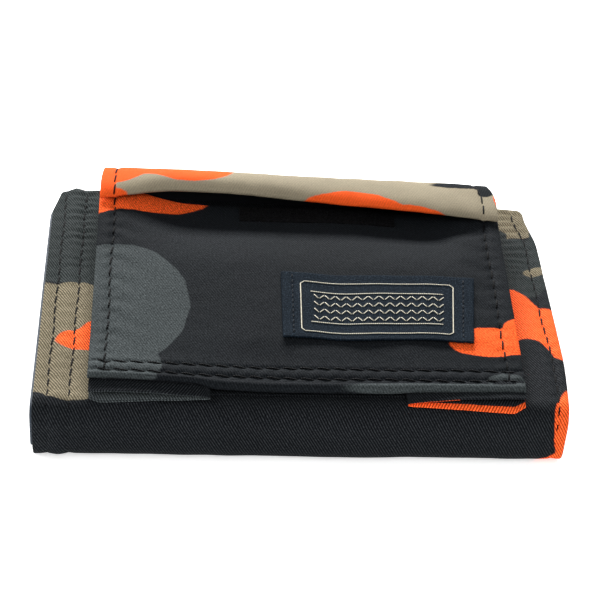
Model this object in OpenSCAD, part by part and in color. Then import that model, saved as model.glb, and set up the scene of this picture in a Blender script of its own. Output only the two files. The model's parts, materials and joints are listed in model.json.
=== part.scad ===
// Trifold wallet of camouflage nylon twill with an outside coin pocket, closed.
// The back panel lies on the table, the inner panel is folded over it from the far
// side, and the front panel with its coin pocket is folded over both from the near side.
// +X runs along the folds, +Y away from the near fold, +Z up. Millimetres.

/* [Wallet] */
// Width along the folds
wallet_w = 112; // [108:1:118]
// Depth from the near fold to the far fold
wallet_d = 82; // [80:1:86]
// Height of the three folded panels, without the coin pocket
body_h = 13.9; // [13.5:0.1:15]
// Corner radius of the panels
corner_r = 3; // [1:0.5:4]

/* [Cloth] */
// Outer nylon twill with its bonded backing
shell_t = 0.8; // [0.6:0.05:0.8]
// Foam sheet between the shell and its lining
foam_t = 0.6; // [0.4:0.05:0.6]
// Lining of the bill compartment
lining_t = 0.25; // [0.15:0.05:0.25]
// Inner wall of the bill compartment, which carries the card pockets
divider_t = 0.4; // [0.3:0.05:0.4]
// One card pocket
pocket_t = 0.4; // [0.3:0.05:0.4]
// Free height left for bills in each panel
bill_gap = 0.3; // [0.2:0.05:0.3]

/* [Inner panel] */
// How far the inner panel reaches from the far edge of the wallet
inner_reach = 60.5; // [58:0.5:60.5]

/* [Coin pocket] */
// Width of the pocket
coin_w = 92; // [84:1:94]
// Sideways shift of the pocket from the wallet's middle
coin_shift = 1.75; // [0:0.25:2]
// How deep each side gusset folds in
gusset_in = 25; // [18:1:28]
// Length of the flap over the mouth
flap_l = 14; // [12:0.5:15]
// Height of the mouth above the front panel
mouth_h = 8; // [7:0.5:8.5]

/* [Label] */
// Label width
label_w = 42; // [34:1:44]
// Label height
label_h = 22; // [18:1:24]

/* [Stitching] */
// Distance from one stitch to the next
stitch_pitch = 3.6; // [3:0.1:5]
// Length of one stitch
stitch_l = 2.8; // [2:0.1:2.8]

/* [Hidden] */
$fn = 64;

thread_h = 0.15;                    // how far a stitch stands off the cloth
thread_w = 0.45;
layer_gap = 0.05;                   // clearance between layers that lie on each other
half_w = wallet_w / 2;
far_y = wallet_d / 2;               // outside of the far fold
near_y = thread_h - wallet_d / 2;   // outside of the near fold, under its stitches
hem_out = 0.5;                      // how far the lining stands out at the bill opening

// Layers of the back panel, upward from the table
foam_back_z = shell_t + layer_gap;
lining_back_z = foam_back_z + foam_t + layer_gap;
divider_back_z = lining_back_z + lining_t + bill_gap;
pocket_step_z = pocket_t + layer_gap;
pocket_back_z = divider_back_z + divider_t + layer_gap;

// Layers of the inner panel, upward: it lies with its pockets facing down
inner_z = 4.4;
divider_inner_z = inner_z + 2 * pocket_step_z;
lining_inner_z = divider_inner_z + divider_t + bill_gap;
foam_inner_z = lining_inner_z + lining_t + layer_gap;
shell_inner_z = foam_inner_z + foam_t + layer_gap;
inner_top_z = shell_inner_z + shell_t;
tip_y = far_y - inner_reach;

// Layers of the front panel, downward from its outer face
shell_front_z = body_h - shell_t;
foam_front_z = shell_front_z - layer_gap - foam_t;
lining_front_z = foam_front_z - layer_gap - lining_t;
divider_front_z = lining_front_z - bill_gap - divider_t;
window_t = 0.2;
window_z = divider_front_z - layer_gap - window_t;
frame_z = window_z - layer_gap - pocket_t;

// Closure tapes, which meet between the front panel and the inner panel
loop_t = 1.9;
hook_t = 1.6;

// Folds: the near fold has two creases with a spine between them, the far one is a half turn
crease_r = 4.5;                     // outer radius of the near creases
crease_y = near_y + crease_r;
crease_top_z = body_h - crease_r;
crease_cut = 2;                     // degrees left free on each side of a crease's middle
far_r = inner_top_z / 2;            // outer radius of the far fold
far_c_y = far_y - far_r;
far_cut = 2.2;
front_far_y = far_y - 1;            // free edge of the front panel

// Coin pocket, on top of the front panel
coin_x0 = coin_shift - coin_w / 2;
coin_x1 = coin_shift + coin_w / 2;
coin_y0 = -36;                      // bottom seam, which the pocket's front swings on
base_t = 0.4;
base_z = body_h + layer_gap;
pocket_floor_z = base_z + base_t;
wall_t = 0.8;
wall_y = 38.5;                      // outside of the pocket's back wall
coin_front_t = 0.8;
coin_lining_t = 0.3;
seam_z = pocket_floor_z + 0.7;      // underside of the front's lining at the bottom seam
mouth_y = 31;                       // mouth edge of the pocket's front
front_len = mouth_y - coin_y0;
front_tilt = asin((mouth_h - 3.1) / front_len);  // slope of the pocket's front
flap_droop = 2.4;                   // how far the flap slopes down to the mouth, degrees
flap_t = 0.8;
flap_lining_t = 0.35;
flap_hinge_z = pocket_floor_z + mouth_h - layer_gap;
flap_lining_z = 0.1;                // heights above the flap's hinge line
flap_z = flap_lining_z + flap_lining_t + layer_gap;
tape_t = 0.4;                       // hook or loop tape of the coin pocket
tape_x0 = -12;
tape_x1 = 24;
label_x0 = -3;
label_up = 15.5;                    // from the bottom seam to the label's lower edge
label_t = 0.5;

// Stitch rows
row_left_out = -half_w + 3;
row_left_in = -half_w + 7.7;
row_right = half_w - 2.5;
coin_row_in = 3.2;                  // from the pocket's side edges to their rows

CAMO_DARK = [0.13, 0.14, 0.16];
CAMO_GREEN = [0.27, 0.30, 0.29];
CAMO_KHAKI = [0.55, 0.50, 0.39];
CAMO_ORANGE = [0.95, 0.33, 0.16];
LINING = [0.30, 0.33, 0.38];
THREAD = [0.05, 0.05, 0.06];
TAPE = [0.06, 0.06, 0.07];

// Rectangle from (x0, y0) to (x1, y1) with corners of radius r
module round_rect(x0, x1, y0, y1, r) {
    translate([x0 + r, y0]) square([x1 - x0 - 2 * r, y1 - y0]);
    translate([x0, y0 + r]) square([x1 - x0, y1 - y0 - 2 * r]);
    for (x = [x0 + r, x1 - r], y = [y0 + r, y1 - r]) translate([x, y]) circle(r);
}

// Panel from its fold at y0 to its free edge at y1, where the corners are rounded
module panel(x0, x1, y0, y1, z, t, r) {
    out = sign(y1 - y0);
    edge = y1 - out * r;
    translate([0, 0, z]) linear_extrude(t) {
        translate([x0, min(y0, edge)]) square([x1 - x0, abs(edge - y0)]);
        translate([x0 + r, min(y0, y1)]) square([x1 - x0 - 2 * r, abs(y1 - y0)]);
        for (x = [x0 + r, x1 - r]) translate([x, edge]) circle(r);
    }
}

// Flat sheet of cloth, film or foam
module sheet(x0, x1, y0, y1, z, t, r = 1) {
    translate([0, 0, z]) linear_extrude(t) round_rect(x0, x1, y0, y1, r);
}

// Extrudes a (y, z) profile along X
module along_x(x0, x1) {
    translate([x0, 0, 0]) rotate([90, 0, 90]) linear_extrude(x1 - x0) children();
}

// (y, z) section of cloth that bends round (cy, cz), from angle a0 to angle a1
module bend(cy, cz, r_out, t, a0, a1) {
    reach = 2 * r_out;
    mid = (a0 + a1) / 2;
    translate([cy, cz]) intersection() {
        difference() {
            circle(r_out);
            circle(r_out - t);
        }
        polygon([
            [0, 0],
            reach * [cos(a0), sin(a0)],
            reach * [cos(mid), sin(mid)],
            reach * [cos(a1), sin(a1)]
        ]);
    }
}

// (y, z) section of flat cloth
module strip(y0, y1, z, t) {
    translate([y0, z]) square([y1 - y0, t]);
}

// Row of stitches along Y at x, standing on height z
module row_y(x, y0, y1, z) {
    count = floor((y1 - y0) / stitch_pitch);
    start = y0 + (y1 - y0 - (count - 1) * stitch_pitch - stitch_l) / 2;
    for (i = [0 : count - 1])
        translate([x - thread_w / 2, start + i * stitch_pitch, z])
            cube([thread_w, stitch_l, thread_h]);
}

// Row of stitches along X at y, standing on height z
module row_x(y, x0, x1, z) {
    count = floor((x1 - x0) / stitch_pitch);
    start = x0 + (x1 - x0 - (count - 1) * stitch_pitch - stitch_l) / 2;
    for (i = [0 : count - 1])
        translate([start + i * stitch_pitch, y - thread_w / 2, z])
            cube([stitch_l, thread_w, thread_h]);
}

// The three rows that hold a panel's edges: two at the bill opening, one at the closed side
module edge_rows(y0, y1, z) {
    for (x = [row_left_out, row_left_in, row_right]) row_y(x, y0, y1, z);
}

// ---- Back panel: the root, which lies on the table ----

module shell_back() {
    color(CAMO_DARK) along_x(-half_w + hem_out, half_w) {
        strip(crease_y, far_c_y, 0, shell_t);
        bend(crease_y, crease_r, crease_r, shell_t, 225 + crease_cut, 270);
        bend(far_c_y, far_r, far_r, shell_t, -90, -far_cut);
    }
}

module foam_back() {
    color("dimgray") sheet(-half_w + 9, half_w - 6, -35, 35, foam_back_z, foam_t);
}

module lining_back() {
    color(LINING) sheet(-half_w, half_w - 1, -35.5, 36, lining_back_z, lining_t);
}

module divider_back() {
    color(LINING) sheet(-half_w + 2, half_w - 1, -35.5, 36, divider_back_z, divider_t);
}

// Card pockets overlap like steps, and their mouths face the bill opening at -X
module card_pocket_back(i) {
    color(CAMO_DARK)
        sheet(-34 + 12 * i, half_w - 3, -31, 31, pocket_back_z + i * pocket_step_z, pocket_t);
}

module stitching_back() {
    color(THREAD) {
        row_y(row_left_in, -34, 34, divider_back_z + divider_t);
        for (y = [-29.5, 29.5])
            row_x(y, -9, half_w - 4, pocket_back_z + 3 * pocket_step_z - layer_gap);
    }
}

// ---- Inner panel: hinged at the far fold, pockets facing down ----

module shell_inner() {
    color(CAMO_GREEN) {
        panel(-half_w + hem_out, half_w, far_c_y, tip_y, shell_inner_z, shell_t, corner_r);
        along_x(-half_w + hem_out, half_w) bend(far_c_y, far_r, far_r, shell_t, far_cut, 90);
    }
}

module foam_inner() {
    color("dimgray") sheet(-half_w + 9, half_w - 6, tip_y + 2, 35, foam_inner_z, foam_t);
}

module lining_inner() {
    color(LINING)
        panel(-half_w, half_w - 1, 36, tip_y + 0.5, lining_inner_z, lining_t, corner_r);
}

module divider_inner() {
    color(LINING)
        panel(-half_w + 2, half_w - 1, 36, tip_y + 0.5, divider_inner_z, divider_t, corner_r);
}

module card_pocket_inner(i) {
    color(CAMO_GREEN)
        sheet(-34 + 14 * i, half_w - 3, tip_y + 1, 36,
              divider_inner_z - (i + 1) * pocket_step_z, pocket_t);
}

module closure_loop_tape() {
    color(TAPE) sheet(-25, 25, 27, 36.5, inner_top_z + layer_gap, loop_t);
}

module stitching_inner() {
    color(THREAD) edge_rows(tip_y + 1, far_c_y, inner_top_z);
}

// ---- Spine of the near fold ----

module shell_spine() {
    color(CAMO_DARK) along_x(-half_w + hem_out, half_w) {
        bend(crease_y, crease_r, crease_r, shell_t, 180, 225 - crease_cut);
        translate([near_y, crease_r]) square([shell_t, crease_top_z - crease_r]);
        bend(crease_y, crease_top_z, crease_r, shell_t, 135 + crease_cut, 180);
    }
}

module lining_spine() {
    color(LINING) translate([-half_w, near_y + shell_t + layer_gap, 4])
        cube([wallet_w - 1, lining_t, body_h - 8]);
}

module divider_spine() {
    color(LINING) translate([-half_w + 2, near_y + shell_t + lining_t + 0.4, 4])
        cube([wallet_w - 3, divider_t, body_h - 8]);
}

module stitching_spine() {
    color(THREAD) for (x = [row_left_out, row_left_in, row_right])
        translate([x - thread_w / 2, near_y - thread_h, body_h / 2 - stitch_l / 2])
            cube([thread_w, thread_h, stitch_l]);
}

// ---- Front panel, with the fixed parts of the coin pocket ----

module shell_front() {
    color(CAMO_GREEN) {
        along_x(-half_w + hem_out, half_w)
            bend(crease_y, crease_top_z, crease_r, shell_t, 90, 135 - crease_cut);
        panel(-half_w + hem_out, half_w, crease_y, front_far_y, shell_front_z, shell_t, corner_r);
    }
}

module foam_front() {
    color("dimgray") sheet(-half_w + 9, half_w - 6, -35, 37, foam_front_z, foam_t);
}

module lining_front() {
    color(LINING)
        panel(-half_w, half_w - 1, -35.5, front_far_y, lining_front_z, lining_t, corner_r);
}

module divider_front() {
    color(LINING)
        panel(-half_w + 2, half_w - 1, -35.5, front_far_y, divider_front_z, divider_t, corner_r);
}

module id_window() {
    color([0.8, 0.85, 0.9, 0.4]) sheet(-45, 45, -30, 30, window_z, window_t);
}

module id_pocket_frame() {
    color(CAMO_DARK) translate([0, 0, frame_z]) linear_extrude(pocket_t) difference() {
        round_rect(-46, half_w - 3, -32, 32, 2);
        round_rect(-38, 38, -24, 24, 3);
    }
}

module closure_hook_tape() {
    color(TAPE) sheet(-25, 25, 33, 38.5, divider_front_z - layer_gap - hook_t, hook_t);
}

module stitching_front() {
    color(THREAD) edge_rows(-35.5, front_far_y - 1, body_h);
}

module coin_base_panel() {
    color(CAMO_DARK) sheet(coin_x0, coin_x1, coin_y0 + 0.5, wall_y, base_z, base_t, 1);
}

module coin_back_wall() {
    color(CAMO_KHAKI) translate([coin_x0, wall_y - wall_t, pocket_floor_z])
        cube([coin_w, wall_t, mouth_h - layer_gap]);
}

// One leaf of a gusset, between an outer edge at xo and the fold at xi
module gusset_leaf(xo, xi, outer_near_z, outer_far_z, fold_near_z, fold_far_z) {
    leaf_t = 0.4;
    hull() {
        for (end = [[coin_y0 + 1, outer_near_z, fold_near_z], [wall_y - 8, outer_far_z, fold_far_z]]) {
            translate([xo, end[0], end[1]]) cube(leaf_t);
            translate([xi, end[0], end[2]]) cube(leaf_t);
        }
    }
}

// V-shaped side gusset: a lower and an upper leaf that meet at a fold inside the pocket
module coin_gusset(xo, xi) {
    low = pocket_floor_z + 0.02;
    near_high = low + 0.2;
    far_high = pocket_floor_z + mouth_h - 2.9;
    gusset_leaf(xo, xi, low, low, low + 0.1, low + 2);
    gusset_leaf(xo, xi, near_high, far_high, low + 0.1, low + 2);
}

module coin_gusset_left() {
    color(CAMO_GREEN) coin_gusset(coin_x0, coin_x0 + gusset_in);
}

module coin_gusset_right() {
    color(CAMO_ORANGE) coin_gusset(coin_x1 - 0.4, coin_x1 - gusset_in);
}

// ---- Front of the coin pocket, which swings on its bottom seam ----

// Places children on the pocket's sloping front, with y from the bottom seam up
module on_coin_front(z) {
    translate([0, coin_y0, seam_z]) rotate([front_tilt, 0, 0]) translate([0, 0, z])
        children();
}

module coin_front_lining() {
    color(LINING) on_coin_front(0)
        sheet(coin_x0 + 1, coin_x1 - 1, 1, front_len - 0.5, 0, coin_lining_t);
}

module coin_front_panel() {
    color(CAMO_DARK) on_coin_front(coin_lining_t + layer_gap)
        sheet(coin_x0, coin_x1, 1.6, front_len, 0, coin_front_t, 1.2);
}

module coin_front_hem() {
    hem_r = 0.9;
    color(CAMO_GREEN) on_coin_front(hem_r)
        translate([coin_x0, 0, 0]) rotate([0, 90, 0]) cylinder(r = hem_r, h = coin_w);
}

module woven_label() {
    color([0.07, 0.09, 0.13]) on_coin_front(coin_lining_t + coin_front_t + 2 * layer_gap)
        sheet(label_x0, label_x0 + label_w, label_up, label_up + label_h, 0, label_t, 0.5);
}

module coin_loop_tape() {
    color(TAPE) on_coin_front(coin_lining_t + coin_front_t + 2 * layer_gap)
        sheet(tape_x0, tape_x1, front_len - 5.5, front_len - 0.5, 0, tape_t, 0.5);
}

module stitching_coin_pocket() {
    top = coin_lining_t + coin_front_t + layer_gap;
    color(THREAD) on_coin_front(0) {
        for (x = [coin_x0 + coin_row_in, coin_x1 - coin_row_in])
            row_y(x, 9, front_len - 1, top);
        for (y = [3.5, 6.7]) row_x(y, coin_x0 + 2, coin_x1 - 2, top);
    }
}

// ---- Flap of the coin pocket, hinged on the top of its back wall ----

// Places children on the flap, with y = 0 and z = 0 on its hinge line
module on_flap() {
    translate([0, wall_y, flap_hinge_z]) rotate([flap_droop, 0, 0]) children();
}

module coin_flap() {
    color(CAMO_KHAKI) on_flap() sheet(coin_x0, coin_x1, -flap_l, 0, flap_z, flap_t, 1.5);
}

module coin_flap_lining() {
    color(LINING) on_flap()
        sheet(coin_x0 + 1, coin_x1 - 1, 1 - flap_l, -0.5, flap_lining_z, flap_lining_t);
}

module coin_hook_tape() {
    color(TAPE) on_flap()
        sheet(tape_x0, tape_x1, 1.2 - flap_l, 6 - flap_l,
              flap_lining_z - layer_gap - tape_t, tape_t, 0.5);
}

module stitching_flap() {
    color(THREAD) on_flap() for (x = [coin_x0 + coin_row_in, coin_x1 - coin_row_in])
        row_y(x, 2 - flap_l, -1, flap_z + flap_t);
}

shell_back();
foam_back();
lining_back();
divider_back();
card_pocket_back(0);  // card_pocket_back_1
card_pocket_back(1);  // card_pocket_back_2
card_pocket_back(2);  // card_pocket_back_3
stitching_back();
shell_inner();
foam_inner();
lining_inner();
divider_inner();
card_pocket_inner(0);  // card_pocket_inner_1
card_pocket_inner(1);  // card_pocket_inner_2
closure_loop_tape();
stitching_inner();
shell_spine();
lining_spine();
divider_spine();
stitching_spine();
shell_front();
foam_front();
lining_front();
divider_front();
id_window();
id_pocket_frame();
closure_hook_tape();
stitching_front();
coin_base_panel();
coin_back_wall();
coin_gusset_left();
coin_gusset_right();
coin_front_panel();
coin_front_lining();
coin_front_hem();
woven_label();
coin_loop_tape();
stitching_coin_pocket();
coin_flap();
coin_flap_lining();
coin_hook_tape();
stitching_flap();
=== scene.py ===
"""Trifold wallet of camouflage nylon twill with an outside coin pocket, lying closed on its back panel.

Shapes are worked out in millimetres and put down in metres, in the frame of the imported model.
Every cloth is a closed mesh with a rounded edge; (u, v) on it are millimetres along the cloth.
"""

import json
import math

import bmesh
import bpy
import numpy as np
from mathutils import Matrix, Vector, noise


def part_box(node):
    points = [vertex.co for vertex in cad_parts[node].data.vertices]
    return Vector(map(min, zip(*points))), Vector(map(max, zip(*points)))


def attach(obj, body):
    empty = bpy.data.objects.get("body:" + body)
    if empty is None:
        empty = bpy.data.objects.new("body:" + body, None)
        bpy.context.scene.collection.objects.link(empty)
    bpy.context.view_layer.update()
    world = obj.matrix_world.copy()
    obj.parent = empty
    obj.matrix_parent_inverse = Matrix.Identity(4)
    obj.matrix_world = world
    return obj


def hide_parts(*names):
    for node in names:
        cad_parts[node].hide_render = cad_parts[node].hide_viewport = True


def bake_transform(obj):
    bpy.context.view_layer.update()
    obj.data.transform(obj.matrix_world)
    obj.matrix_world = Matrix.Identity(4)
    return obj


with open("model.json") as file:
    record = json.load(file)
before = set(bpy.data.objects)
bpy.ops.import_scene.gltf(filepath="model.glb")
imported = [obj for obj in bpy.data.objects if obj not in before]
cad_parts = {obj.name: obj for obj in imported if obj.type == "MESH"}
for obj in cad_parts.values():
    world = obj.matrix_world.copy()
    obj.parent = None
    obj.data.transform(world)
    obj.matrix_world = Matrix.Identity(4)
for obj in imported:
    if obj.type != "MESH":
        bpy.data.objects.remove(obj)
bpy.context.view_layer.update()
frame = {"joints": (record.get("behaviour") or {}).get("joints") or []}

MM = 0.001


def box(node):
    """Lowest and highest corner of a node, in millimetres."""
    lo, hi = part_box(node)
    return np.array(lo) / MM, np.array(hi) / MM


def hinge(name):
    """Place of a joint, in millimetres."""
    joint = next(j for j in frame["joints"] if j["name"] == name)
    return np.array(joint["pos_m"]) / MM


# ---------------------------------------------------------------- sizes, from the frame

SHELL_LO, SHELL_HI = box("shell_front")
TOP_Z = SHELL_HI[2]
FRONT_FAR_Y = SHELL_HI[1]
HALF_W = SHELL_HI[0]
SHELL_LEFT = SHELL_LO[0]
NEAR_Y = box("shell_spine")[0][1]
NEAR_R = hinge("spine_fold")[2] / (1 - math.sqrt(0.5))
CREASE_Y = NEAR_Y + NEAR_R
FAR_R = hinge("inner_fold")[2]
FAR_Y = hinge("inner_fold")[1]
FAR_C_Y = FAR_Y - FAR_R
TIP_Y = box("shell_inner")[0][1]
SHELL_T = TOP_Z - box("foam_front")[1][2] - 0.05

COIN_LO, COIN_HI = box("coin_flap")
COIN_X0, COIN_X1 = COIN_LO[0], COIN_HI[0]
WALL_Y = box("coin_back_wall")[1][1]
FLOOR_Z = box("coin_base_panel")[1][2]
SEAM = hinge("coin_mouth")
FLAP_HINGE = hinge("coin_flap_lift")
LABEL_LO, LABEL_HI = box("woven_label")
FRONT_V = 67.0  # from the bottom seam of the pocket's front up to its mouth
FRONT_TILT = math.asin(4.9 / FRONT_V)  # how steeply it climbs there
FRONT_UP = (0, -math.sin(FRONT_TILT), math.cos(FRONT_TILT))
FLAP_L = COIN_HI[1] - COIN_LO[1]

# Route of the shell's outer surface: front panel, near fold, back panel, far fold, inner panel
S_CREASE_1 = FRONT_FAR_Y - CREASE_Y
S_SPINE = S_CREASE_1 + NEAR_R * math.pi / 2
S_CREASE_2 = S_SPINE + TOP_Z - 2 * NEAR_R
S_BACK = S_CREASE_2 + NEAR_R * math.pi / 2
S_RING = S_BACK + FAR_C_Y - CREASE_Y
S_INNER = S_RING + FAR_R * math.pi
S_TIP = S_INNER + FAR_C_Y - TIP_Y
S_SPINE_MID = (S_SPINE + S_CREASE_2) / 2
S_RING_MID = (S_RING + S_INNER) / 2

# rows of stitches
ROW_LEFT_OUT = -HALF_W + 3.0
ROW_LEFT_IN = -HALF_W + 7.7
ROW_RIGHT = HALF_W - 2.5
COIN_ROW_L = COIN_X0 + 3.2
COIN_ROW_R = COIN_X1 - 3.2
PITCH = 3.6  # from one stitch to the next
HEM_ROWS = (3.5, 6.7)
HEM_WAVE = 2.6  # length of the gathers across the shell's hems
RIGHT_SWELL = 1.7  # how far the front panel's right edge bellies out
LEAN_LEFT, LEAN_RIGHT = 2.3, 1.6  # how far its two sides stand above and below flat


def route(s):
    """Point (y, z) and outward normal of the shell's outer surface at s along it."""
    s = np.asarray(s, float)
    a1 = math.pi / 2 + (s - S_CREASE_1) / NEAR_R
    a2 = math.pi + (s - S_CREASE_2) / NEAR_R
    a3 = -math.pi / 2 + (s - S_RING) / FAR_R
    conditions = [s < S_CREASE_1, s < S_SPINE, s < S_CREASE_2, s < S_BACK, s < S_RING, s < S_INNER]
    one = np.ones_like(s)
    y = np.select(
        conditions,
        [
            FRONT_FAR_Y - s,
            CREASE_Y + NEAR_R * np.cos(a1),
            NEAR_Y * one,
            CREASE_Y + NEAR_R * np.cos(a2),
            CREASE_Y + s - S_BACK,
            FAR_C_Y + FAR_R * np.cos(a3),
        ],
        FAR_C_Y - (s - S_INNER),
    )
    z = np.select(
        conditions,
        [
            TOP_Z * one,
            TOP_Z - NEAR_R + NEAR_R * np.sin(a1),
            TOP_Z - NEAR_R - (s - S_SPINE),
            NEAR_R + NEAR_R * np.sin(a2),
            0 * one,
            FAR_R + FAR_R * np.sin(a3),
        ],
        2 * FAR_R,
    )
    ny = np.select(conditions, [0 * one, np.cos(a1), -one, np.cos(a2), 0 * one, np.cos(a3)], 0)
    nz = np.select(conditions, [one, np.sin(a1), 0 * one, np.sin(a2), -one, np.sin(a3)], 1)
    return y, z, ny, nz


# ---------------------------------------------------------------- soft shape of the cloth


def right_swell(s):
    """How far the right edge of the front panel bellies out past the cut size, by place along the route."""
    return RIGHT_SWELL * smooth((s - 2) / 14) * smooth((S_CREASE_2 + 4 - s) / 34)


def row_x(row, s):
    """Where a stitch row runs; the right one follows the swollen edge."""
    return row + (right_swell(s) + 0.7 * smooth((s - 40) / 40) if row > 0 else 0) * (s < S_BACK)


def smooth(t):
    """Soft step: 0 below 0, 1 above 1."""
    t = np.clip(t, 0, 1)
    return t * t * (3 - 2 * t)


def bump(x, centre, width):
    """Soft hump of height 1."""
    return np.exp(-(((x - centre) / width) ** 2))


def ripple(x, y, scale, seed):
    """Smooth noise from -1 to 1, the same on every run."""
    x, y = np.broadcast_arrays(np.asarray(x, float), np.asarray(y, float))
    out = np.empty(x.shape)
    flat = out.reshape(-1)
    for i, (a, b) in enumerate(zip(x.ravel(), y.ravel())):
        flat[i] = noise.noise(Vector((a * scale, b * scale, seed)))
    return out


def lean(x, y):
    """How far the front panel stands above flat: its left side is a little thicker."""
    side = np.where(x < 0, LEAN_LEFT, LEAN_RIGHT)
    return -side * (x / HALF_W) * smooth((y - CREASE_Y) / (FRONT_FAR_Y - CREASE_Y))


def seam_dent(across, along, reach=1.0):
    """Dent of a stitch row, deeper at each needle hole, with small puckers beside it."""
    holes = 1 + 0.45 * np.cos(2 * math.pi * along / PITCH)
    pull = 0.13 * np.sin(2 * math.pi * along / PITCH + 0.8) * bump(across, 0, 1.9)
    return reach * (-0.3 * holes * bump(across, 0, 0.55) + pull)


def slant_crease(x, v, foot, slope, width):
    """0 on a crease that runs up the spine from foot, counted across it in widths."""
    return (x - foot - slope * (v + 40)) / width


def shell_relief(x, s):
    """Outward relief of the shell's outer surface, in millimetres."""
    v = FRONT_FAR_Y - s
    out = 0 * x
    for row in (ROW_LEFT_OUT, ROW_LEFT_IN, ROW_RIGHT):
        out = out + seam_dent(x - row_x(row, s), s)
    out = out + 0.22 * bump(x, (ROW_LEFT_OUT + ROW_LEFT_IN) / 2, 1.3)
    # gathers across the hems, stronger towards the far edge
    far = 0.1 + 0.9 * smooth((v - 1) / 24)
    waves = np.sin(2 * math.pi * v / HEM_WAVE + 2.2 * ripple(x, v, 0.12, 3.0))
    hems = bump(x, ROW_LEFT_IN + 0.5, 3.6) + 0.9 * bump(x, HALF_W - 4.5, 3.0)
    out = out + 0.22 * far * waves * hems
    # the coin pocket presses the front panel flat
    outside = smooth((COIN_X0 - 0.6 - x) / 2) + smooth((x - COIN_X1 - 0.6) / 2)
    outside = np.clip(outside + smooth((CREASE_Y + 1.5 - v) / 3), 0, 1)
    out = out * (0.15 + 0.85 * outside) - 0.12 * (1 - outside)
    # two soft creases up the spine, and its uneven fullness
    left = slant_crease(x, v, -14.3, -0.9, 2.2)
    out = out + (0.25 * np.exp(-((left - 1.4) ** 2)) - 0.3 * np.exp(-(left**2))) * bump(v, -41, 5)
    out = out - 0.25 * np.exp(-(slant_crease(x, v, 26, 0.7, 2.0) ** 2)) * bump(v, -43, 4)
    puff = 0.35 + 0.35 * ripple(x, v, 0.045, 7.0)
    spine = bump(v, FRONT_FAR_Y - S_SPINE_MID, 9)
    return out + 1.2 * spine * puff + 0.12 * outside * ripple(x, v, 0.16, 11.0)


# ---------------------------------------------------------------- meshes


def mesh_object(name, verts, faces, uv, materials, face_material=None):
    """Object with smooth faces and one uv a vertex, both in millimetres."""
    mesh = bpy.data.meshes.new(name)
    mesh.from_pydata((np.asarray(verts) * MM).tolist(), [], faces)
    index = np.empty(len(mesh.loops), np.int32)
    mesh.loops.foreach_get("vertex_index", index)
    mesh.uv_layers.new(name="cloth").data.foreach_set("uv", np.asarray(uv, np.float32)[index].ravel())
    for material in materials:
        mesh.materials.append(material)
    if face_material is not None:
        mesh.polygons.foreach_set("material_index", np.asarray(face_material, np.int32))
    mesh.polygons.foreach_set("use_smooth", np.ones(len(mesh.polygons), bool))
    mesh.update()
    obj = bpy.data.objects.new(name, mesh)
    bpy.context.scene.collection.objects.link(obj)
    return obj


def unit(v):
    """Vectors brought to length 1."""
    return v / np.maximum(np.linalg.norm(v, axis=-1, keepdims=True), 1e-9)


def surface_normals(points, flip=1):
    """Normals and both tangents of a grid of points."""
    du = np.gradient(points, axis=0)
    dv = np.gradient(points, axis=1)
    return unit(np.cross(du, dv)) * flip, unit(du), unit(dv)


def cloth(name, points, uv, thick, material, inside=None, flip=1, rings=3):
    """Closed sheet with rounded edges: points is the grid of its outer side, thick its thickness."""
    n, m = points.shape[:2]
    normal, du, dv = surface_normals(points, flip)
    rows = np.arange(-rings, n + rings)
    cols = np.arange(-rings, m + rings)
    ri, ci = np.clip(rows, 0, n - 1), np.clip(cols, 0, m - 1)
    over_r = np.where(rows < 0, rows, np.where(rows >= n, rows - n + 1, 0))
    over_c = np.where(cols < 0, cols, np.where(cols >= m, cols - m + 1, 0))
    angle_r = np.abs(over_r) / rings * math.pi / 2
    angle_c = np.abs(over_c) / rings * math.pi / 2
    thick = np.broadcast_to(np.asarray(thick, float), (n, m))
    pick = np.ix_(ri, ci)
    t = thick[pick][..., None]
    out_r = (np.sign(over_r) * np.sin(angle_r))[:, None, None] * t / 2
    out_c = (np.sign(over_c) * np.sin(angle_c))[None, :, None] * t / 2
    drop = np.maximum((1 - np.cos(angle_r))[:, None], (1 - np.cos(angle_c))[None, :])[..., None] * t / 2
    base = points[pick] + du[pick] * out_r + dv[pick] * out_c
    top = base - normal[pick] * drop
    low = base - normal[pick] * (t - drop)
    number = np.arange(len(rows) * len(cols)).reshape(len(rows), len(cols))
    low_number = number + number.size
    low_number[0, :], low_number[-1, :] = number[0, :], number[-1, :]
    low_number[:, 0], low_number[:, -1] = number[:, 0], number[:, -1]

    def quads(k, turn):
        q = np.stack([k[:-1, :-1], k[1:, :-1], k[1:, 1:], k[:-1, 1:]], -1).reshape(-1, 4)
        return q[:, ::-1] if turn else q

    faces = np.concatenate([quads(number, flip < 0), quads(low_number, flip > 0)])
    edge_uv = [np.broadcast_to(out, t.shape) for out in (out_c, out_r)]
    flat_uv = uv[pick] + np.concatenate(edge_uv, -1)
    used, first = np.unique(faces, return_inverse=True)
    verts = np.concatenate([top.reshape(-1, 3), low.reshape(-1, 3)])[used]
    uvs = np.concatenate([flat_uv.reshape(-1, 2)] * 2)[used]
    side = np.zeros(len(faces), int)
    side[len(faces) // 2 :] = 1 if inside else 0
    materials = [material, inside] if inside else [material]
    return mesh_object(name, verts, first.reshape(-1, 4).tolist(), uvs, materials, side)


def face_outward(obj, join=0.0):
    """Turns every face outward, after joining points closer than the given distance."""
    bm = bmesh.new()
    bm.from_mesh(obj.data)
    if join:
        bmesh.ops.remove_doubles(bm, verts=bm.verts, dist=join)
    bmesh.ops.recalc_face_normals(bm, faces=bm.faces)
    bm.to_mesh(obj.data)
    bm.free()


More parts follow.
